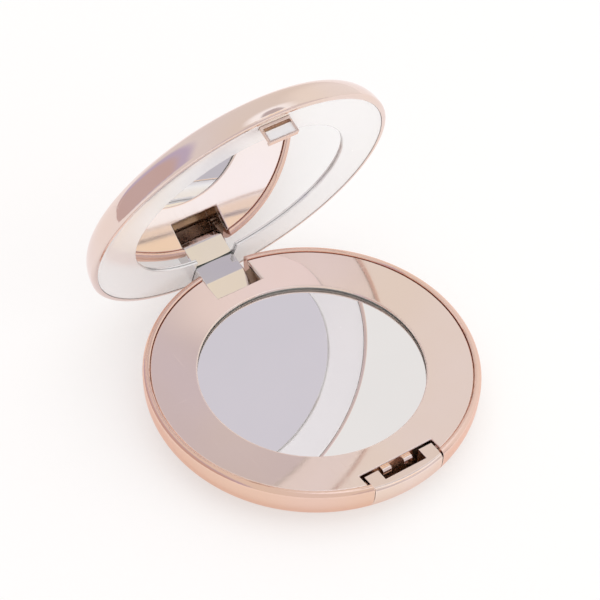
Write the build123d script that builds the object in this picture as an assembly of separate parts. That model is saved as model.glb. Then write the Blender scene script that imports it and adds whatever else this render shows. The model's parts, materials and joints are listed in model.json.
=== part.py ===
"""A round hinged mirror compact, lid standing open, in millimetres.

Frame: the origin is the middle of the flat underside that the compact rests on.
+Z is up, +Y points to the hinge and -Y to the push button. Lid pieces are built
as if the lid were shut, then turned about the hinge axis to where it stands.
"""
from build123d import *
import os

# Overall
outer_r = 40.0            # outer radius of base and lid
base_h = 10.0             # resting face up to the deck's rim
rim_rise = 0.5            # the casing's rim stands this much above the deck
lid_h = 7.4               # thickness of the lid
lid_gap = 1.3             # deck's rim to the shut lid's rim
lid_open = 69.6           # how far the lid stands open, degrees
lid_wall = 1.6            # lid casing
floor_t = 1.5             # base casing floor

# Base casing outline
base_round_r = 6.5        # underside rounding, across
rim_band = 2.0            # upright side between that rounding and the deck's rim
rim_edge_r = 1.2          # outer edge of the rim
rim_inner_edge = 0.25     # bevel inside the rim
rim_w = 1.85              # the casing's rim, outside to the deck

# Deck ring
deck_gap = 0.12           # thin line between deck and casing rim
deck_w = 11.05            # rim to well
deck_t = 1.2              # thickness at the rim
deck_lip_t = 0.5          # thickness at the edge of the well
deck_lip_w = 2.8          # the thin lip runs this far out from the well
deck_dish = 0.88          # the deck sinks this much towards the well
deck_ledge = 1.0          # width of the casing ledge under the deck
deck_edge = 0.2           # bevel at the deck's rim
deck_lip_r = 0.35         # rounded edge of the well
deck_cut_edge = 0.22      # bevels round the notch and the recess

# Base mirror and its tray
base_glass_lap = 0.25     # the glass runs this far under the lip
base_glass_t = 1.8
base_glass_drop = 1.3     # glass below the edge of the well
glass_gap = 0.2           # clearance round a glass
glass_edge = 0.15         # ground edge of a glass
tray_wall = 0.8
tray_floor = 1.0
pad_t = 0.4               # adhesive foam
pad_inset = 1.5           # foam is this much smaller than its glass
tray_ring_w = 1.2         # casing ring that carries the tray
tray_ring_inset = 2.0

# Hinge
hinge_in = 5.26           # axis in from the outside of the casing
hinge_z = 2.55            # axis above the resting face
pin_r = 0.8
pin_fit = 0.03            # running fit of the lug on its pins
pin_edge = 0.15           # bevelled ends of the pins
pin_in_lug = 4.6          # length of each pin inside the lug
pin_in_cheek = 3.15       # length of each pin inside the casing
pin_end_gap = 0.05
lug_half = 5.6            # half the width of the lug
lug_front = 3.2           # inner face of the lug in front of the axis, at the lid's glass
lug_back = 2.36           # back of the lug behind the axis
lug_lean = 0.10           # the face comes forward this much per mm below the glass
lug_crease = 5.35         # below the glass the face turns here
lug_heel_lean = 0.30      # the face goes back this much per mm below that crease
lug_heel_drop = 0.8       # the face ends this far below the axis
lug_edge = 0.25           # bevels along the lug's face
knuckle_r = 2.2           # lug round the pins
lug_foot_t = 1.2          # foot plate glued inside the lid
lug_foot_wing = 2.0       # foot plate beyond the lug, each side
lug_foot_back = 0.9       # foot plate stops short of the lug's back
lug_hole_gap = 0.15       # frame round the lug and the catch
notch_side = 0.95         # notch beyond the lug, each side
notch_gap = 0.6           # front edge of the notch before the lug's face
notch_wall_gap = 0.7      # wall in front of the lug set back from that edge
notch_wall_t = 0.85
notch_lip_t = 0.5         # the floor thins to this where the lug swings close
sweep_gap = 0.2           # lug to the floor below as it swings
cheek_cap = 0.25          # casing left beyond the end of each pin
cheek_back = 2.4          # cheek behind the axis
under_deck_gap = 0.1      # casing blocks below the deck

# Button
button_half = 9.43        # half the width of the button
button_gap = 0.2          # between button and casing slot, each side
button_wall = 2.6         # front wall of the button
button_arm = 3.71         # width of each arm
button_travel = 0.8
button_stop = 0.15        # left behind the arms when the button is in
button_top_drop = 0.1     # button's top below the deck's rim
button_edge_r = 1.0       # rounded top edge of the button's face
button_edge = 0.12        # other top edges of the button
button_lift = 0.25        # underside of the button above the slot's sill
slot_sill = 2.3           # bottom of the slot in the casing
recess_in = 6.65          # back wall of the recess in from the outside
recess_side = 0.67        # deck's cut-out beyond the button, each side
recess_wall = 1.0
ear_out = 1.2             # ears that keep the button in, beyond the arms
ear_len = 1.0
ear_fit = 0.4             # ears stay this far inside the cavity's radius
ear_h = 1.7
guide_w = 1.2             # casing ribs beside the recess
bridge_h = 1.6            # low bar joining the arms
bridge_t = 1.4
ramp_w = 1.7              # ramps on the arms that lift the catch
ramp_h = 2.6
ramp_len = 2.0
ramp_drop = 3.1           # top of the ramps below the button's top
ramp_low = 0.4            # height of a ramp's thin end
spring_t = 0.22           # leaf spring between bar and recess wall
spring_h = 1.3
spring_lift = 0.1         # spring above the underside of the button
spring_half = 5.4
spring_bow = 1.85
spring_clear = 0.04

# Catch
catch_half = 3.85         # half the width of the lid's catch
catch_gap = 0.15          # catch behind the pressed button's wall
catch_t = 1.0
catch_len = 3.95          # below the lid's rim
catch_hook = 0.55         # ridge on its inner side
catch_hook_h = 0.7
catch_edge = 0.4          # raised border round its outer face
catch_sink = 0.4          # depth of the face inside the border
catch_root = 1.0          # slot across the catch beside the lid
catch_root_sink = 0.8     # depth of that slot
catch_root_gap = 0.3      # solid left between slot and frame
catch_foot_wing = 1.0     # foot plate beyond the catch
catch_foot_back = 2.0     # foot plate behind the tongue
catch_foot_t = 0.8
prong_x = 2.94            # middles of the two prongs it snaps under
prong_w = 2.37
prong_h = 1.5
prong_drop = 1.3          # top of the prongs below the deck's rim
prong_slope = 0.45        # their front edges are cut back by this
prong_clear = 0.35        # tip of a prong to the ridge on the shut catch

# Lid
lid_rim_r = 0.8           # rounded rim
lid_round_r = 5.0         # shoulder of the lid, across
lid_rim_w = 1.37          # rim, outside to the frame
lid_seat_w = 0.8          # ledge behind the frame
bezel_gap = 0.08
bezel_rim_depth = 0.1     # frame below the lid's rim, at the rim
bezel_sag = 0.6           # the frame is this much deeper at the mirror
bezel_w = 10.48           # frame, rim to mirror
bezel_t = 1.1             # frame, thickness at the mirror
bezel_lip_t = 0.55        # frame at the mirror's edge
bezel_edge = 0.15
lid_glass_t = 1.8
lid_glass_depth = 1.3     # glass below the lid's rim
lid_pad_t = 0.5
lid_rib_w = 1.6           # rings behind the foam
lid_rib_r = 22.0
lid_hub_r = 11.0

# Heights worked out from the values above
base_round_h = base_h - rim_band
rim_z = base_h + rim_rise
well_z = base_h - deck_dish
ledge_z = base_h - deck_t
lip_z = well_z - deck_lip_t
deck_bore_z = ledge_z - deck_dish * (deck_w - deck_lip_w) / deck_w
under_z = deck_bore_z - under_deck_gap
glass_z = well_z - base_glass_drop
tray_floor_z = glass_z - base_glass_t - pad_t
tray_z = tray_floor_z - tray_floor
lid_z = base_h + lid_gap
bezel_rim_z = lid_z + bezel_rim_depth
bezel_z = bezel_rim_z + bezel_sag
bezel_top_z = bezel_z + bezel_t
lid_glass_z = lid_z + lid_glass_depth
lid_glass_top = lid_glass_z + lid_glass_t
crease_z = lid_glass_z - lug_crease
heel_z = hinge_z - lug_heel_drop
lid_in_top = lid_z + lid_h - lid_wall
button_top = base_h - button_top_drop
button_low = slot_sill + button_lift

# Radii and places across
deck_r = outer_r - rim_w
rim_in_r = deck_r + deck_gap
cavity_r = rim_in_r - deck_ledge
well_r = deck_r - deck_w
deck_bore_r = well_r + deck_lip_w
base_glass_r = well_r + base_glass_lap
tray_in_r = base_glass_r + glass_gap
tray_r = tray_in_r + tray_wall
hinge_y = outer_r - hinge_in
lug_face_y = hinge_y - lug_front
lug_back_y = hinge_y + lug_back
notch_half = lug_half + notch_side
notch_y = lug_face_y - notch_gap
notch_wall_y = notch_y - notch_wall_gap
cheek_w = pin_in_cheek + cheek_cap
pin_reach = notch_half + pin_in_cheek
recess_half = button_half + recess_side
slot_half = button_half + button_gap
guide_in = recess_half + ear_out
recess_y = recess_in - outer_r
button_rear_y = recess_y - button_travel - button_stop
button_in_y = button_wall - outer_r
button_in_half = button_half - button_arm
bridge_y = recess_y - spring_bow - spring_t - 2 * spring_clear
catch_y = button_in_y + button_travel + catch_gap
catch_in_y = catch_y + catch_t
prong_y = catch_in_y + catch_hook + prong_clear
lid_inner_r = outer_r - lid_rim_w
lid_mirror_r = lid_inner_r - bezel_w
lid_glass_r = lug_face_y - glass_gap
far = 3 * outer_r         # longer than anything it cuts
tol = 0.001               # for picking edges


def box(x0, x1, y0, y1, z0, z1):
    """A block between two corners, given in any order."""
    block = Box(abs(x1 - x0), abs(y1 - y0), abs(z1 - z0))
    return Pos((x0 + x1) / 2, (y0 + y1) / 2, (z0 + z1) / 2) * block


def ring(r_in, r_out, z0, z1):
    """A plain ring, or a disc where r_in is 0."""
    body = Pos(0, 0, (z0 + z1) / 2) * Cylinder(r_out, z1 - z0)
    if r_in > 0:
        body -= Pos(0, 0, (z0 + z1) / 2) * Cylinder(r_in, 2 * (z1 - z0))
    return body


def rod_x(r, x0, x1):
    """A round bar along the hinge axis."""
    return Pos((x0 + x1) / 2, hinge_y, hinge_z) * Rot(0, 90, 0) * Cylinder(r, abs(x1 - x0))


def spin(*edges):
    """Turn a closed outline in the XZ plane about Z."""
    return revolve(make_face(Wire(edges)), Axis.Z, 360)


def arc(mid_x, mid_z, rx, rz, a0, a1):
    """A stretch of ellipse in the XZ plane, angles in degrees from +X."""
    plane = Plane((mid_x, 0, mid_z), x_dir=(1, 0, 0), z_dir=(0, -1, 0))
    return Edge.make_ellipse(rx, rz, plane, a0, a1) if rx >= rz else upright_arc(plane, rx, rz, a0, a1)


def upright_arc(plane, rx, rz, a0, a1):
    """The same stretch when the long axis is upright."""
    upright = Plane(plane.origin, x_dir=(0, 0, 1), z_dir=(0, -1, 0))
    return Edge.make_ellipse(rz, rx, upright, a0 - 90, a1 - 90)


def line(x0, z0, x1, z1):
    return Edge.make_line((x0, 0, z0), (x1, 0, z1))


def side_profile(points, half):
    """A solid of one outline in the YZ plane, the same width both ways from the middle."""
    outline = Polyline(*[(0, y, z) for y, z in points], close=True)
    return extrude(make_face(outline), half, dir=(1, 0, 0), both=True)


def base_outline():
    """The casing's outside as a solid body, rim and all."""
    flat = outer_r - base_round_r
    edge_r = outer_r - rim_edge_r
    return spin(
        line(0, 0, flat, 0),
        arc(flat, base_round_h, base_round_r, base_round_h, 270, 360),
        line(outer_r, base_round_h, outer_r, rim_z - rim_edge_r),
        arc(edge_r, rim_z - rim_edge_r, rim_edge_r, rim_edge_r, 0, 90),
        line(edge_r, rim_z, 0, rim_z),
        line(0, rim_z, 0, 0),
    )


def base_cavity():
    """The space inside the casing, up through the deck's seat."""
    flat = cavity_r - base_round_r
    bevel_r = rim_in_r + rim_inner_edge
    return spin(
        line(0, floor_t, flat, floor_t),
        arc(flat, base_round_h, base_round_r, base_round_h - floor_t, 270, 360),
        line(cavity_r, base_round_h, cavity_r, ledge_z),
        line(cavity_r, ledge_z, rim_in_r, ledge_z),
        line(rim_in_r, ledge_z, rim_in_r, rim_z - rim_inner_edge),
        line(rim_in_r, rim_z - rim_inner_edge, bevel_r, rim_z),
        line(bevel_r, rim_z, bevel_r, lid_z),
        line(bevel_r, lid_z, 0, lid_z),
        line(0, lid_z, 0, floor_t),
    )


def base_shell():
    shell = base_outline() - base_cavity()
    # ring that carries the tray
    ring_out = tray_r - tray_ring_inset
    shell += ring(ring_out - tray_ring_w, ring_out, floor_t, tray_z)
    # wall in front of the lug
    wall_front = notch_wall_y - notch_wall_t
    wall_half = notch_half + cheek_w
    blocks = [box(-wall_half, wall_half, wall_front, notch_wall_y, 0, under_z)]
    for side in (-1, 1):
        # cheek that holds a pin, and a rib beside the recess
        cheek = (side * notch_half, side * wall_half, wall_front, hinge_y + cheek_back)
        rib = (side * guide_in, side * (guide_in + guide_w), -outer_r, recess_y)
        blocks.append(box(*cheek, 0, under_z))
        blocks.append(box(*rib, 0, under_z))
    outside = base_outline()
    for block in blocks:
        shell += block & outside
    # the notch is open behind and under the pins, with the floor running in below the lug's heel
    shell -= box(-notch_half, notch_half, notch_wall_y, far, floor_t, far)
    step_y = min(lug_face(heel_z) - sweep_gap, before_knuckle(floor_t))
    shell -= box(-notch_half, notch_half, step_y, far, notch_lip_t, far)
    shell -= box(-notch_half, notch_half, before_knuckle(notch_lip_t), far, -far, far)
    shell -= box(-slot_half, slot_half, -far, recess_y, slot_sill, far)
    shell -= rod_x(pin_r, -pin_reach - pin_end_gap, pin_reach + pin_end_gap)
    return shell


def inner_deck():
    plate = spin(
        line(well_r + deck_lip_r, well_z, deck_r - deck_edge, base_h),
        line(deck_r - deck_edge, base_h, deck_r, base_h - deck_edge),
        line(deck_r, base_h - deck_edge, deck_r, ledge_z),
        line(deck_r, ledge_z, cavity_r - deck_gap, ledge_z),
        line(cavity_r - deck_gap, ledge_z, deck_bore_r, deck_bore_z),
        line(deck_bore_r, deck_bore_z, deck_bore_r, lip_z),
        line(deck_bore_r, lip_z, well_r, lip_z),
        line(well_r, lip_z, well_r, well_z - deck_lip_r),
        arc(well_r + deck_lip_r, well_z - deck_lip_r, deck_lip_r, deck_lip_r, 90, 180),
    )
    plate -= box(-notch_half, notch_half, notch_y, far, -far, far)
    plate -= box(-recess_half, recess_half, -far, recess_y, -far, far)
    cuts = [e for e in plate.edges() if e.length > deck_cut_edge * 2 and is_cut_edge(e)]
    plate = chamfer(cuts, deck_cut_edge)
    # wall behind the button, down to just above the casing's floor
    wall = box(-recess_half, recess_half, recess_y, recess_y + recess_wall, 0, ledge_z)
    plate += wall & (Pos(0, 0, under_deck_gap) * base_cavity())
    for side in (-1, 1):
        plate += Pos(side * prong_x, 0, 0) * prong()
    return plate


def is_cut_edge(edge):
    """A top edge of the deck along the notch or the recess."""
    if edge.bounding_box().min.Z < well_z:
        return False
    x, y = abs(edge.center().X), edge.center().Y
    on_recess = abs(y - recess_y) < tol or (abs(x - recess_half) < tol and y < 0)
    on_notch = abs(y - notch_y) < tol or (abs(x - notch_half) < tol and y > 0)
    return on_recess or on_notch


def prong():
    """A short bar standing out of the recess wall, its front edges cut back."""
    top = base_h - prong_drop
    low = top - prong_h
    root = recess_y + recess_wall / 2
    points = [
        (root, top),
        (prong_y + prong_slope, top),
        (prong_y, top - prong_slope),
        (prong_y, low + prong_slope / 2),
        (prong_y + prong_slope / 2, low),
        (root, low),
    ]
    return side_profile(points, prong_w / 2)


def mirror_tray():
    return ring(0, tray_r, tray_z, lip_z) - ring(0, tray_in_r, tray_floor_z, far)


def base_mirror_pad():
    return ring(0, base_glass_r - pad_inset, tray_floor_z, tray_floor_z + pad_t)


def glass(r, z0, z1):
    """A mirror disc with ground edges."""
    disc = ring(0, r, z0, z1)
    return chamfer(disc.edges().filter_by(GeomType.CIRCLE), glass_edge)


def base_mirror():
    return glass(base_glass_r, glass_z - base_glass_t, glass_z)


def hinge_pin(side):
    pin = rod_x(pin_r, side * (lug_half - pin_in_lug), side * pin_reach)
    return chamfer(pin.edges().filter_by(GeomType.CIRCLE), pin_edge)


def button_spring():
    """A bowed leaf between the recess wall's foot and the bar of the button."""
    front = bridge_y + spring_clear
    radius = (spring_half ** 2 + spring_bow ** 2) / (2 * spring_bow)
    low = button_low + spring_lift
    bow = Pos(0, front + radius + spring_t, 0) * ring(radius, radius + spring_t, low, low + spring_h)
    return bow & box(-spring_half, spring_half, front - spring_t, recess_y - spring_clear, 0, base_h)


def push_button():
    body = base_outline() & box(-button_half, button_half, -far, button_rear_y, button_low, button_top)
    body -= box(-button_in_half, button_in_half, button_in_y, far, -far, far)
    # the face's top edge is rounded along the whole curve
    corner_r = outer_r - button_edge_r
    corner_z = button_top - button_edge_r
    corner = ring(corner_r, outer_r + button_edge_r, corner_z, rim_z)
    body -= corner - Pos(0, 0, corner_z) * Torus(corner_r, button_edge_r)
    tops = body.edges().filter_by(GeomType.LINE).filter_by_position(Axis.Z, button_top, button_top)
    body = chamfer(tops, button_edge)
    # low bar across, behind the catch
    body += box(-button_half, button_half, bridge_y - bridge_t, bridge_y, button_low, button_low + bridge_h)
    for side in (-1, 1):
        ear = (side * (button_half - ear_len), side * (button_half + ear_out))
        ear = box(*ear, button_rear_y - ear_len, button_rear_y, under_z - ear_h, under_z)
        body += ear & ring(0, cavity_r - ear_fit, 0, base_h)
        body += ramp(side)
    return body


def ramp(side):
    """A wedge on the inner side of an arm; it lifts the catch as the button goes in."""
    top = button_top - ramp_drop
    low = top - ramp_h
    edge = side * button_in_half
    outline = Polyline(
        (edge, button_in_y, top),
        (edge, button_in_y + ramp_len, low + ramp_low),
        (edge, button_in_y + ramp_len, low),
        (edge, button_in_y, low),
        close=True,
    )
    return extrude(make_face(outline), ramp_w, dir=(-side, 0, 0))


def lid_outline():
    """The lid's outside as a solid body."""
    top = lid_z + lid_h
    shoulder = outer_r - lid_round_r
    rim = outer_r - lid_rim_r
    return spin(
        line(0, lid_z, rim, lid_z),
        arc(rim, lid_z + lid_rim_r, lid_rim_r, lid_rim_r, 270, 360),
        arc(shoulder, lid_z + lid_rim_r, lid_round_r, lid_h - lid_rim_r, 0, 90),
        line(shoulder, top, 0, top),
        line(0, top, 0, lid_z),
    )


def lid_shell():
    seat_r = lid_inner_r - lid_seat_w
    inside = spin(
        line(0, base_h, lid_inner_r, base_h),
        line(lid_inner_r, base_h, lid_inner_r, bezel_top_z),
        line(lid_inner_r, bezel_top_z, seat_r, bezel_top_z),
        arc(seat_r - lid_round_r, bezel_top_z, lid_round_r, lid_in_top - bezel_top_z, 0, 90),
        line(seat_r - lid_round_r, lid_in_top, 0, lid_in_top),
        line(0, lid_in_top, 0, base_h),
    )
    shell = lid_outline() - inside
    # rings behind the mirror's foam
    for r in (lid_hub_r, lid_rib_r):
        shell += ring(r - lid_rib_w, r, lid_glass_top + lid_pad_t, lid_in_top)
    return shell


def lid_bezel():
    out_r = lid_inner_r - bezel_gap
    seat_z = bezel_z + bezel_lip_t
    seat_r = lid_glass_r + glass_gap
    mirror_edge_r = lid_mirror_r + bezel_edge
    # the frame's face is a shallow dish, level at the mirror and steep at the rim
    frame = spin(
        arc(mirror_edge_r, bezel_rim_z, out_r - mirror_edge_r, bezel_sag, 0, 90),
        line(out_r, bezel_rim_z, out_r, bezel_top_z),
        line(out_r, bezel_top_z, seat_r, bezel_top_z),
        line(seat_r, bezel_top_z, seat_r, seat_z),
        line(seat_r, seat_z, lid_mirror_r, seat_z),
        line(lid_mirror_r, seat_z, lid_mirror_r, bezel_z + bezel_edge),
        line(lid_mirror_r, bezel_z + bezel_edge, mirror_edge_r, bezel_z),
    )
    # openings for the lug and for the catch
    half = lug_half + lug_hole_gap
    frame -= box(-half, half, 0, lug_back_y + lug_hole_gap, -far, far)
    half = catch_half + lug_hole_gap
    hook_y = catch_in_y + catch_hook
    frame -= box(-half, half, catch_y - lug_hole_gap, hook_y + lug_hole_gap, -far, far)
    return frame


def lid_mirror():
    return glass(lid_glass_r, lid_glass_z, lid_glass_top)


def lid_mirror_pad():
    return ring(0, lid_glass_r - pad_inset, lid_glass_top, lid_glass_top + lid_pad_t)


def lug_face(z):
    """Inner face of the lug at a height, with the lid shut. It turns back below its crease."""
    below = max(0, crease_z - z)
    return lug_face_y - lug_lean * (lid_glass_z - z) + (lug_lean + lug_heel_lean) * below


def before_knuckle(z):
    """Where a floor of height z ends in front of the turning knuckle."""
    return hinge_y - ((knuckle_r + sweep_gap) ** 2 - (hinge_z - z) ** 2) ** 0.5


def hinge_lug():
    """The arm that carries the lid, from its foot plate down to the pins."""
    points = [
        (lug_face(bezel_top_z), bezel_top_z),
        (lug_face(crease_z), crease_z),
        (lug_face(heel_z), heel_z),
        (hinge_y, hinge_z - knuckle_r),
        (hinge_y + knuckle_r, hinge_z),
        (lug_back_y, hinge_z + knuckle_r),
        (lug_back_y, bezel_top_z),
    ]
    arm = side_profile(points, lug_half)
    front = [e for e in arm.edges() if e.center().Y < lug_face(heel_z) and e.length < lug_half * 2 - tol]
    arm = chamfer(front, lug_edge) + rod_x(knuckle_r, -lug_half, lug_half)
    foot_half = lug_half + lug_foot_wing
    foot_top = bezel_top_z + lug_foot_t
    foot = box(-foot_half, foot_half, 0, lug_back_y - lug_foot_back, bezel_top_z, foot_top)
    arm += foot - ring(0, lid_glass_r + glass_gap, 0, far)
    for side in (-1, 1):
        arm -= rod_x(pin_r + pin_fit, side * (lug_half - pin_in_lug - pin_fit), side * notch_half)
    return arm


def lid_catch():
    """The hooked tongue at the front of the lid."""
    low = lid_z - catch_len
    tongue = box(-catch_half, catch_half, catch_y, catch_in_y, low, bezel_top_z)
    tongue += box(-catch_half, catch_half, catch_in_y, catch_in_y + catch_hook, low, low + catch_hook_h)
    # the outer face is sunk inside a border, with a slot across beside the lid
    face = (catch_edge - catch_half, catch_half - catch_edge, -far)
    root_z = lid_z - catch_root_gap
    tongue -= box(*face, catch_y + catch_sink, low + catch_edge, root_z)
    tongue -= box(*face, catch_y + catch_root_sink, lid_z - catch_root, root_z)
    foot_half = catch_half + catch_foot_wing
    foot_y = catch_in_y + catch_foot_back
    foot_top = bezel_top_z + catch_foot_t
    return tongue + box(-foot_half, foot_half, catch_y + catch_sink, foot_y, bezel_top_z, foot_top)


def opened(part):
    """Turn a lid piece from shut to where the lid stands."""
    return Pos(0, hinge_y, hinge_z) * Rot(-lid_open, 0, 0) * Pos(0, -hinge_y, -hinge_z) * part


os.makedirs("parts", exist_ok=True)
nodes = {
    "base_shell": base_shell(),
    "inner_deck": inner_deck(),
    "mirror_tray": mirror_tray(),
    "base_mirror_pad": base_mirror_pad(),
    "base_mirror": base_mirror(),
    "hinge_pin_left": hinge_pin(-1),
    "hinge_pin_right": hinge_pin(1),
    "button_spring": button_spring(),
    "push_button": push_button(),
    "lid_shell": opened(lid_shell()),
    "lid_bezel": opened(lid_bezel()),
    "lid_mirror_pad": opened(lid_mirror_pad()),
    "lid_mirror": opened(lid_mirror()),
    "hinge_lug": opened(hinge_lug()),
    "lid_catch": opened(lid_catch()),
}
for name, node in nodes.items():
    export_step(node, f"parts/{name}.step")
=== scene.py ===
import bpy, json, math
from mathutils import Matrix, Vector


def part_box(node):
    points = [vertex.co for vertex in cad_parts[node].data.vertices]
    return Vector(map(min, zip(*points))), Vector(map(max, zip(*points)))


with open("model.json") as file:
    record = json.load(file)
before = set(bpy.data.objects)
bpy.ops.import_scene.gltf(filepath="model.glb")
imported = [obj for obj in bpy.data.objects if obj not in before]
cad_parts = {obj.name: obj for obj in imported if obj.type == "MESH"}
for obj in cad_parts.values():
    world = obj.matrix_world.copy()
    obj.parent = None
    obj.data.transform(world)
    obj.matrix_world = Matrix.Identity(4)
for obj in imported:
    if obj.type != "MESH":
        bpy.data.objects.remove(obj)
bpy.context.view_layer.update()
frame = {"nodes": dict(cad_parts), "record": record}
print("frame loaded")

# where the camera stands, looking at the open compact from its front left
camera = {
    "azimuth": -36.24,      # degrees round from straight in front
    "elevation": 45.75,
    "roll": 2.60,
    "distance": 0.5002,
    "aimRight": -0.0029,    # middle of the view from the middle of the deck
    "aimUp": 0.0154,
    "lens": 127.25,
    "sensorWidth": 36,
    "clipStart": 0.01,
}


def makeCamera():
    a = math.radians(camera["azimuth"])
    e = math.radians(camera["elevation"])
    r = math.radians(camera["roll"])
    back = Vector((math.sin(a) * math.cos(e), -math.cos(a) * math.cos(e), math.sin(e)))
    side = Vector((math.cos(a), math.sin(a), 0))
    over = back.cross(side)
    right = math.cos(r) * side + math.sin(r) * over
    up = math.cos(r) * over - math.sin(r) * side
    deckTop = Vector((0, 0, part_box("inner_deck")[1].z))
    eye = deckTop + camera["aimRight"] * right + camera["aimUp"] * up + camera["distance"] * back
    data = bpy.data.cameras.new("camera")
    data.lens = camera["lens"]
    data.sensor_width = camera["sensorWidth"]
    data.clip_start = camera["clipStart"]
    cam = bpy.data.objects.new("camera", data)
    cam.matrix_world = Matrix((
        (right.x, up.x, back.x, eye.x),
        (right.y, up.y, back.y, eye.y),
        (right.z, up.z, back.z, eye.z),
        (0, 0, 0, 1)))
    bpy.context.scene.collection.objects.link(cam)
    bpy.context.scene.camera = cam


# the studio: an even glow with soft patches of light and shade, and the pale table.
# each patch: the direction it lies in, how far it reaches in degrees (full, faded out), its colour;
# where two meet, the later one covers the earlier
room = {
    "glow": (0.86, 0.83, 0.81),
    "patches": {
        "ceiling": ((0.41, -0.05, 0.91), 17, 26, (1.16, 1.24, 1.32)),
        "ceilingMiddle": ((0.405, 0.065, 0.912), 8, 10.5, (0.60, 0.56, 0.60)),
        "frontWindow": ((0.41, -0.68, 0.60), 10, 18, (1.22, 1.26, 1.30)),
        "warmWindow": ((0.40, -0.44, 0.80), 7, 11, (1.12, 1.00, 0.83)),
        "creamBounce": ((0.396, -0.56, 0.73), 4.5, 8, (1.07, 0.93, 0.75)),
        "frontWall": ((0.38, -0.92, 0.10), 30, 36, (0.72, 0.68, 0.73)),
        "frontHigh": ((0.403, -0.835, 0.375), 4.5, 8, (0.98, 0.92, 0.93)),
        "frontRight": ((0.62, -0.78, 0.10), 5, 11, (0.90, 0.86, 0.90)),
        "leftViolet": ((-0.85, 0.48, 0.05), 47, 56, (0.60, 0.55, 0.72)),
        "leftWall": ((-0.85, 0.48, 0.05), 36, 46, (0.66, 0.53, 0.52)),
        "rightWall": ((0.95, 0.10, 0.20), 30, 50, (0.98, 0.97, 0.95)),
    },
    "strength": 1.0,
    "bounces": 20,          # plated walls close together pass light on many times
    "tableSize": 0.8,
    "tableColor": (0.50, 0.495, 0.49),
    "tableRoughness": 0.7,
    "tableGlow": 0.50,
    "tableGlowColor": (1, 0.995, 0.985),
    # each lamp: where it hangs, its size, its power
    "lamps": {
        "overheadLamp": ((0.1, 0.1, 1.2), 1.2, 2.2),
        "frontFill": ((0.5, -0.75, 0.2), 0.8, 1.8),
    },
}


def addNode(tree, kind, **values):
    node = tree.nodes.new(kind)
    for key, value in values.items():
        if key in node.inputs:
            node.inputs[key].default_value = value
        else:
            setattr(node, key, value)
    return node


# how strongly a direction lies in a patch, from 1 inside to 0 outside
def patchMask(tree, direction, toward, full, faded):
    dot = addNode(tree, "ShaderNodeVectorMath", operation="DOT_PRODUCT")
    tree.links.new(direction, dot.inputs[0])
    dot.inputs[1].default_value = Vector(toward).normalized()
    mask = addNode(tree, "ShaderNodeMapRange", interpolation_type="SMOOTHSTEP")
    mask.inputs["From Min"].default_value = math.cos(math.radians(faded))
    mask.inputs["From Max"].default_value = math.cos(math.radians(full))
    tree.links.new(dot.outputs["Value"], mask.inputs["Value"])
    return mask.outputs["Result"]


def makeRoom():
    world = bpy.data.worlds.new("softRoom")
    bpy.context.scene.world = world
    world.use_nodes = True
    tree = world.node_tree
    tree.nodes.clear()
    out = addNode(tree, "ShaderNodeOutputWorld")
    glow = addNode(tree, "ShaderNodeBackground", Strength=room["strength"])
    direction = addNode(tree, "ShaderNodeTexCoord").outputs["Generated"]
    color = addNode(tree, "ShaderNodeRGB").outputs[0]
    color.default_value = (*room["glow"], 1)
    for toward, full, faded, tint in room["patches"].values():
        mix = addNode(tree, "ShaderNodeMix", data_type="RGBA")
        tree.links.new(patchMask(tree, direction, toward, full, faded), mix.inputs["Factor"])
        tree.links.new(color, mix.inputs[6])
        mix.inputs[7].default_value = (*tint, 1)
        color = mix.outputs[2]
    tree.links.new(color, glow.inputs["Color"])
    tree.links.new(glow.outputs[0], out.inputs[0])

    mesh = bpy.data.meshes.new("table")
    h = room["tableSize"] / 2
    mesh.from_pydata([(-h, -h, 0), (h, -h, 0), (h, h, 0), (-h, h, 0)], [], [(0, 1, 2, 3)])
    table = bpy.data.objects.new("table", mesh)
    bpy.context.scene.collection.objects.link(table)
    mat = bpy.data.materials.new("tableTop")
    mat.use_nodes = True
    bsdf = mat.node_tree.nodes["Principled BSDF"]
    bsdf.inputs["Base Color"].default_value = (*room["tableColor"], 1)
    bsdf.inputs["Roughness"].default_value = room["tableRoughness"]
    bsdf.inputs["Emission Color"].default_value = (*room["tableGlowColor"], 1)
    bsdf.inputs["Emission Strength"].default_value = room["tableGlow"]
    mesh.materials.append(mat)
    for name, (place, size, power) in room["lamps"].items():
        softLamp(name, place, size, power)
    scene = bpy.context.scene
    scene.view_settings.view_transform = "Standard"
    scene.cycles.max_bounces = room["bounces"]
    scene.cycles.glossy_bounces = room["bounces"]


# a square lamp facing the compact; it lights matt surfaces and stays out of reflections
def softLamp(name, place, size, power):
    lamp = bpy.data.lights.new(name, "AREA")
    lamp.energy = power
    lamp.size = size
    lampOb = bpy.data.objects.new(name, lamp)
    lampOb.location = place
    lampOb.rotation_euler = (-Vector(place)).to_track_quat("-Z", "Y").to_euler()
    lampOb.visible_glossy = False
    bpy.context.scene.collection.objects.link(lampOb)


# the nodes that every finish starts from; surfaces keep their own coordinates as they move
def newFinish(name):
    mat = bpy.data.materials.new(name)
    mat.use_nodes = True
    tree = mat.node_tree
    bsdf = tree.nodes["Principled BSDF"]
    place = addNode(tree, "ShaderNodeTexCoord").outputs["Object"]
    return mat, tree, bsdf, place


# soft random pattern; size in metres, stretch squeezes it along each axis
def cloud(tree, place, size, stretch=(1, 1, 1), detail=2.0, distortion=0.0):
    mapping = addNode(tree, "ShaderNodeMapping", Scale=stretch)
    tree.links.new(place, mapping.inputs["Vector"])
    noise = addNode(tree, "ShaderNodeTexNoise", Scale=1 / size, Detail=detail, Distortion=distortion)
    tree.links.new(mapping.outputs[0], noise.inputs["Vector"])
    return noise.outputs["Fac"]


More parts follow.
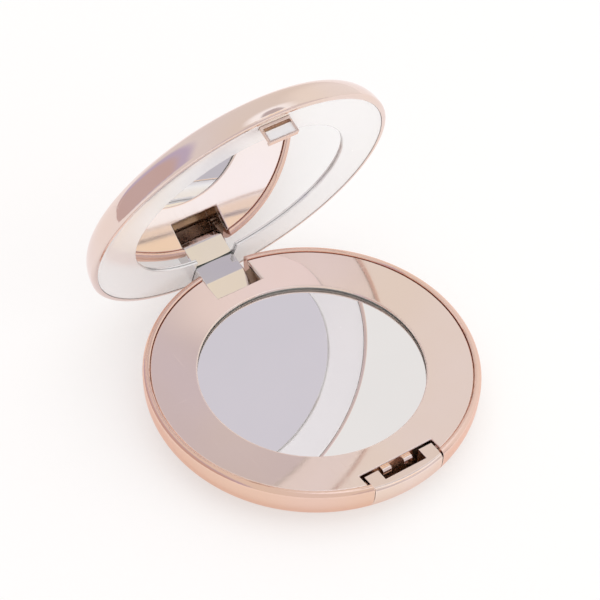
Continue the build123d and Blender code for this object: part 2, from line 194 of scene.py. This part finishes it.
def remap(tree, value, fromLow, fromHigh, low, high):
    node = addNode(tree, "ShaderNodeMapRange")
    node.inputs["From Min"].default_value = fromLow
    node.inputs["From Max"].default_value = fromHigh
    node.inputs["To Min"].default_value = low
    node.inputs["To Max"].default_value = high
    tree.links.new(value, node.inputs["Value"])
    return node.outputs["Result"]


def addUp(tree, first, second):
    node = addNode(tree, "ShaderNodeMath", operation="ADD")
    tree.links.new(first, node.inputs[0])
    tree.links.new(second, node.inputs[1])
    return node.outputs[0]


def mixColors(tree, factor, first, second):
    node = addNode(tree, "ShaderNodeMix", data_type="RGBA")
    tree.links.new(factor, node.inputs["Factor"])
    for value, socket in ((first, node.inputs[6]), (second, node.inputs[7])):
        if isinstance(value, tuple):
            socket.default_value = (*value, 1)
        else:
            tree.links.new(value, socket)
    return node.outputs[2]


# roughness that follows a pattern between two limits
def roughen(tree, bsdf, pattern, limits):
    tree.links.new(remap(tree, pattern, 0.3, 0.7, *limits), bsdf.inputs["Roughness"])


def bump(tree, height, depth, normal=None):
    node = addNode(tree, "ShaderNodeBump", Strength=1.0, Distance=depth)
    tree.links.new(height, node.inputs["Height"])
    if normal:
        tree.links.new(normal, node.inputs["Normal"])
    return node.outputs[0]


# where the surface turns over an edge: 1 on the edge, 0 on the flat, with the rounded normal
def edgeMask(tree, width):
    rounded = addNode(tree, "ShaderNodeBevel", samples=4, Radius=width)
    plain = addNode(tree, "ShaderNodeNewGeometry").outputs["Normal"]
    dot = addNode(tree, "ShaderNodeVectorMath", operation="DOT_PRODUCT")
    tree.links.new(rounded.outputs[0], dot.inputs[0])
    tree.links.new(plain, dot.inputs[1])
    return remap(tree, dot.outputs["Value"], 0.995, 0.85, 0, 1), rounded.outputs[0]


# what every plated piece shares; sizes and depths in metres
plating = {
    "patchShare": 0.4,      # size of the shade patches, as a share of the pearly ones
    "chipSize": 0.0006,
    "smearSize": 0.009,
    "rippleSize": 0.012,
    "peelSize": 0.0005,
    "lineSizes": (0.00035, 0.0005),
    "lineDepth": 0.0000015,
}


# hairlines: long thin streaks in two directions, few enough to leave the plating clean
def hairlines(tree, place, amount):
    along, across = plating["lineSizes"]
    first = cloud(tree, place, along, (1, 0.03, 0.03), 1.0, 0.2)
    second = cloud(tree, place, across, (0.04, 1, 0.05), 1.0, 0.3)
    return addUp(tree, remap(tree, first, 0.70, 0.78, 0, amount), remap(tree, second, 0.71, 0.79, 0, amount))


# plated plastic: pearly tint, faint ripple from the moulding, handling smears, hairlines, pale edges that
# are partly wear and partly painted highlight
def platedFinish(name, look):
    mat, tree, bsdf, place = newFinish(name)
    pearl = cloud(tree, place, look["pearlSize"], detail=1.0, distortion=0.4)
    tinted = mixColors(tree, remap(tree, pearl, 0.35, 0.65, 0, 1), look["color"], look["pearl"])
    patch = cloud(tree, place, look["pearlSize"] * plating["patchShare"], detail=3.0)
    tinted = mixColors(tree, remap(tree, patch, 0.4, 0.75, 0, 0.35), tinted, look["shade"])
    edge, rounded = edgeMask(tree, look["edgeWidth"])
    chips = remap(tree, cloud(tree, place, plating["chipSize"], detail=4.0), 0.35, 0.6, 0.35, 1)
    # pale colour along every edge: partly wear broken up by chips, partly painted highlight
    edgeWearAndSheen = addNode(tree, "ShaderNodeMath", operation="MULTIPLY")
    tree.links.new(edge, edgeWearAndSheen.inputs[0])
    tree.links.new(chips, edgeWearAndSheen.inputs[1])
    tree.links.new(mixColors(tree, edgeWearAndSheen.outputs[0], tinted, look["edge"]), bsdf.inputs["Base Color"])
    wiped = cloud(tree, place, plating["smearSize"], (1, 0.45, 1), 4.0, 1.2)
    smears = remap(tree, wiped, 0.5, 0.75, look["rough"], look["smear"])
    lines = hairlines(tree, place, look["scratch"])
    tree.links.new(addUp(tree, smears, lines), bsdf.inputs["Roughness"])
    ripple = bump(tree, cloud(tree, place, plating["rippleSize"], detail=0.0), look["ripple"], rounded)
    peel = bump(tree, cloud(tree, place, plating["peelSize"], detail=2.0), look["peel"], ripple)
    tree.links.new(bump(tree, lines, plating["lineDepth"], peel), bsdf.inputs["Normal"])
    bsdf.inputs["Metallic"].default_value = look["metal"]
    bsdf.inputs["Specular Tint"].default_value = (*look["rim"], 1)
    return mat


# for each finish: its colour, the pearly tint in it, its shade, its pale edges, partly wear and partly
# painted highlight, and glancing light;
# then how metallic it is, its roughness clean and smeared, and how deep its marks are
roseCasing = {
    "color": (0.82, 0.58, 0.46), "pearl": (0.82, 0.59, 0.51), "shade": (0.79, 0.55, 0.45),
    "edge": (0.95, 0.84, 0.77), "rim": (0.98, 0.80, 0.73), "metal": 1.0, "rough": 0.055, "smear": 0.09,
    "scratch": 0.12, "ripple": 0.00003, "peel": 0.0000012, "pearlSize": 0.03, "edgeWidth": 0.00022,
}
roseDeck = {
    "color": (0.87, 0.72, 0.62), "pearl": (0.87, 0.73, 0.68), "shade": (0.85, 0.69, 0.60),
    "edge": (0.97, 0.92, 0.90), "rim": (1, 0.97, 0.97), "metal": 1.0, "rough": 0.06, "smear": 0.10,
    "scratch": 0.12, "ripple": 0.00002, "peel": 0.000001, "pearlSize": 0.035, "edgeWidth": 0.00025,
}
roseButton = {
    "color": (0.84, 0.68, 0.58), "pearl": (0.84, 0.69, 0.62), "shade": (0.81, 0.65, 0.55),
    "edge": (0.95, 0.88, 0.92), "rim": (0.98, 0.85, 0.80), "metal": 1.0, "rough": 0.10, "smear": 0.16,
    "scratch": 0.15, "ripple": 0.00001, "peel": 0.0000012, "pearlSize": 0.012, "edgeWidth": 0.00022,
}
roseLid = {
    "color": (0.81, 0.65, 0.56), "pearl": (0.80, 0.68, 0.66), "shade": (0.79, 0.62, 0.56),
    "edge": (0.95, 0.86, 0.80), "rim": (1, 0.97, 0.98), "metal": 1.0, "rough": 0.055, "smear": 0.09,
    "scratch": 0.12, "ripple": 0.00003, "peel": 0.0000012, "pearlSize": 0.03, "edgeWidth": 0.00022,
}
silverFrame = {
    "color": (0.97, 0.965, 0.955), "pearl": (0.96, 0.955, 0.96), "shade": (0.95, 0.94, 0.93),
    "edge": (1, 1, 1), "rim": (1, 1, 1), "metal": 0.35, "rough": 0.14, "smear": 0.18,
    "scratch": 0.10, "ripple": 0.00002, "peel": 0.000001, "pearlSize": 0.03, "edgeWidth": 0.0002,
}
silverLug = {
    "color": (0.70, 0.68, 0.695), "pearl": (0.71, 0.69, 0.68), "shade": (0.68, 0.66, 0.68),
    "edge": (0.97, 0.96, 0.96), "rim": (1, 1, 1), "metal": 1.0, "rough": 0.05, "smear": 0.09,
    "scratch": 0.16, "ripple": 0.000006, "peel": 0.000001, "pearlSize": 0.01, "edgeWidth": 0.00025,
}
# painted shade: a dark brown on what shows inside the notch, the button's recess and the catch's slot, where
# shade falls
paintedShadeInside = {
    "color": (0.34, 0.22, 0.16), "pearl": (0.42, 0.29, 0.19), "shade": (0.24, 0.16, 0.12),
    "edge": (0.80, 0.60, 0.50), "rim": (0.9, 0.8, 0.75), "metal": 0.9, "rough": 0.20, "smear": 0.34,
    "scratch": 0.15, "ripple": 0.00003, "peel": 0.000004, "pearlSize": 0.006, "edgeWidth": 0.0002,
}

mirrorGlass = {
    "silver": (0.93, 0.925, 0.93), "haze": (0.915, 0.915, 0.92), "hazeSize": 0.02,
    "dust": 0.05, "dustSize": 0.0004, "wave": 0.000004, "waveSize": 0.03,
}


# back-silvered glass: an even mirror with a breath of haze and single specks of dust
def mirrorFinish(name, look):
    mat, tree, bsdf, place = newFinish(name)
    haze = remap(tree, cloud(tree, place, look["hazeSize"], detail=2.0), 0.4, 0.7, 0, 1)
    tree.links.new(mixColors(tree, haze, look["silver"], look["haze"]), bsdf.inputs["Base Color"])
    specks = remap(tree, cloud(tree, place, look["dustSize"], detail=1.0), 0.76, 0.82, 0.0, look["dust"])
    tree.links.new(specks, bsdf.inputs["Roughness"])
    wave = cloud(tree, place, look["waveSize"], detail=0.0)
    tree.links.new(bump(tree, wave, look["wave"]), bsdf.inputs["Normal"])
    bsdf.inputs["Metallic"].default_value = 1.0
    return mat


glassRim = {
    "color": (0.50, 0.60, 0.56), "deep": (0.34, 0.42, 0.40), "deepSize": 0.0015,
    "rough": (0.175, 0.35), "marks": 0.000006, "markSize": 0.0002, "coat": 0.4,
}


# the ground edge round a glass, with the grinder's fine marks
def groundEdge(name, look):
    mat, tree, bsdf, place = newFinish(name)
    deep = cloud(tree, place, look["deepSize"], detail=3.0)
    tree.links.new(mixColors(tree, deep, look["color"], look["deep"]), bsdf.inputs["Base Color"])
    marks = cloud(tree, place, look["markSize"], (1, 1, 0.2), 2.0)
    roughen(tree, bsdf, marks, look["rough"])
    tree.links.new(bump(tree, marks, look["marks"]), bsdf.inputs["Normal"])
    bsdf.inputs["Coat Weight"].default_value = look["coat"]
    return mat


trayPlastic = {
    "color": (0.60, 0.59, 0.56), "flow": (0.52, 0.51, 0.49), "flowSize": 0.006, "metal": 0.35,
    "rough": (0.24, 0.416), "grain": 0.000008, "grainSize": 0.00025, "edgeWidth": 0.0002,
}


# moulded tray: flow marks in the grey and a fine grain from the mould
def mouldedFinish(name, look):
    mat, tree, bsdf, place = newFinish(name)
    flow = remap(tree, cloud(tree, place, look["flowSize"], (1, 1, 0.3), 3.0, 0.8), 0.35, 0.7, 0, 1)
    tree.links.new(mixColors(tree, flow, look["color"], look["flow"]), bsdf.inputs["Base Color"])
    grain = cloud(tree, place, look["grainSize"], detail=3.0)
    roughen(tree, bsdf, grain, look["rough"])
    rounded = edgeMask(tree, look["edgeWidth"])[1]
    tree.links.new(bump(tree, grain, look["grain"], rounded), bsdf.inputs["Normal"])
    bsdf.inputs["Metallic"].default_value = look["metal"]
    return mat


foamTape = {
    "color": (0.82, 0.82, 0.80), "cell": (0.62, 0.62, 0.60), "cellSize": 0.00035, "cellDepth": 0.00008,
    "rough": (0.8, 0.95), "roughSize": 0.003,
}


# closed-cell foam: round cells of mixed sizes, darker where one is cut open
def foamFinish(name, look):
    mat, tree, bsdf, place = newFinish(name)
    cells = addNode(tree, "ShaderNodeTexVoronoi", Scale=1 / look["cellSize"], Randomness=0.9)
    tree.links.new(place, cells.inputs["Vector"])
    cellWall = remap(tree, cells.outputs["Distance"], 0.1, 0.6, 0, 1)
    tree.links.new(mixColors(tree, cellWall, look["cell"], look["color"]), bsdf.inputs["Base Color"])
    roughen(tree, bsdf, cloud(tree, place, look["roughSize"]), look["rough"])
    tree.links.new(bump(tree, cellWall, look["cellDepth"]), bsdf.inputs["Normal"])
    return mat


drawnSteel = {
    "color": (0.62, 0.61, 0.60), "dull": (0.48, 0.47, 0.46), "oilSize": 0.0015,
    "rough": (0.126, 0.288), "lines": 0.000004, "lineSize": 0.00012,
}


# drawn pins and spring: fine lines along the draw and a little oil
def steelFinish(name, look):
    mat, tree, bsdf, place = newFinish(name)
    drawn = cloud(tree, place, look["lineSize"], (0.04, 1, 1), 2.0)
    oil = remap(tree, cloud(tree, place, look["oilSize"], detail=2.0), 0.4, 0.7, 0, 1)
    tree.links.new(mixColors(tree, oil, look["color"], look["dull"]), bsdf.inputs["Base Color"])
    roughen(tree, bsdf, drawn, look["rough"])
    tree.links.new(bump(tree, drawn, look["lines"]), bsdf.inputs["Normal"])
    bsdf.inputs["Metallic"].default_value = 1.0
    return mat


finishes = {
    "rose_casing": platedFinish("roseCasing", roseCasing),
    "rose_deck": platedFinish("roseDeck", roseDeck),
    "rose_button": platedFinish("roseButton", roseButton),
    "rose_lid": platedFinish("roseLid", roseLid),
    "silver_frame": platedFinish("silverFrame", silverFrame),
    "silver_lug": platedFinish("silverLug", silverLug),
    "mirror_glass": mirrorFinish("mirrorGlass", mirrorGlass),
    "grey_tray": mouldedFinish("greyTray", trayPlastic),
    "foam_pad": foamFinish("foamPad", foamTape),
    "pin_steel": steelFinish("pinSteel", drawnSteel),
}
# painted shade for the casing inside its rim, the wall behind the button and the catch's slot
paintedShade = platedFinish("paintedShadeInside", paintedShadeInside)
glassEdge = groundEdge("glassEdge", glassRim)
print("finishes made")

slots = {piece["node"]: piece["material_slot"] for piece in frame["record"]["subparts"]}
for name, node in frame["nodes"].items():
    node.data.materials.clear()
    node.data.materials.append(finishes[slots[name]])


# gives the faces that pass a test another material than the rest of their piece
def paintFaces(name, material, test):
    mesh = frame["nodes"][name].data
    mesh.materials.append(material)
    for face in mesh.polygons:
        if test(face.center, face.normal):
            face.material_index = len(mesh.materials) - 1


# limits for picking those faces: places and depths in metres, facings as a cosine
faceLimits = {
    "sole": 0.0001,                  # faces no higher than this stand on the table
    "undersideShare": 0.2,           # rounded underside, as a share of the casing's height
    "facingDown": -0.2,              # the underside faces down by at least this
    "recessDrop": 0.001,             # the recess wall is dark from this far below the button's top
    "recessDepth": 0.8,              # how near the middle that wall lies, as a share of the button's rear
    "facingFront": -0.9,             # that wall faces the button by at least this
    "catchFace": (0.0002, 0.0006),   # how deep the catch's outer face is sunk
    "catchSlot": (0.0006, 0.0009),   # how deep the slot across it is
    "facingSame": 0.99,              # faces that look the same way
    "rimFacing": 0.9,                # a mirror's rim looks away from its flat by more than this
}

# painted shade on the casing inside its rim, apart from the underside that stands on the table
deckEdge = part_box("inner_deck")[1].x
undersideTop = faceLimits["undersideShare"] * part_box("base_shell")[1].z
paintFaces("base_shell", paintedShade, lambda spot, facing: spot.to_2d().length < deckEdge
           and spot.z > faceLimits["sole"]
           and not (spot.z < undersideTop and facing.z < faceLimits["facingDown"]))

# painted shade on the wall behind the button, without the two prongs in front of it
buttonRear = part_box("push_button")[1].y
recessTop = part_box("push_button")[1].z - faceLimits["recessDrop"]
recessBack = faceLimits["recessDepth"] * buttonRear
paintFaces("inner_deck", paintedShade, lambda spot, facing: facing.y < faceLimits["facingFront"]
           and buttonRear < spot.y < recessBack and spot.z < recessTop)

# the catch: bright where its outer face is sunk, painted shade in the slot across it
catchFaces = frame["nodes"]["lid_catch"].data.polygons
lidOpen = math.radians(-min(frame["record"]["behaviour"]["joints"][0]["range_deg"]))
outward = Vector((0, -math.cos(lidOpen), math.sin(lidOpen)))
border = max(face.center.dot(outward) for face in catchFaces
             if face.normal.dot(outward) > faceLimits["facingSame"])
# the second pass paints shade into the slot across the catch
for material, (least, most) in ((finishes["silver_frame"], faceLimits["catchFace"]),
                                (paintedShade, faceLimits["catchSlot"])):
    paintFaces("lid_catch", material, lambda spot, facing: facing.dot(outward) > faceLimits["facingSame"]
               and least < border - spot.dot(outward) < most)

# the rims of both mirrors
for name in ("base_mirror", "lid_mirror"):
    largest = max(frame["nodes"][name].data.polygons, key=lambda face: face.area)
    flat = largest.normal.copy()
    paintFaces(name, glassEdge, lambda spot, facing: abs(facing.dot(flat)) < faceLimits["rimFacing"])
print("finishes on")

makeCamera()
makeRoom()
print("camera and studio ready")
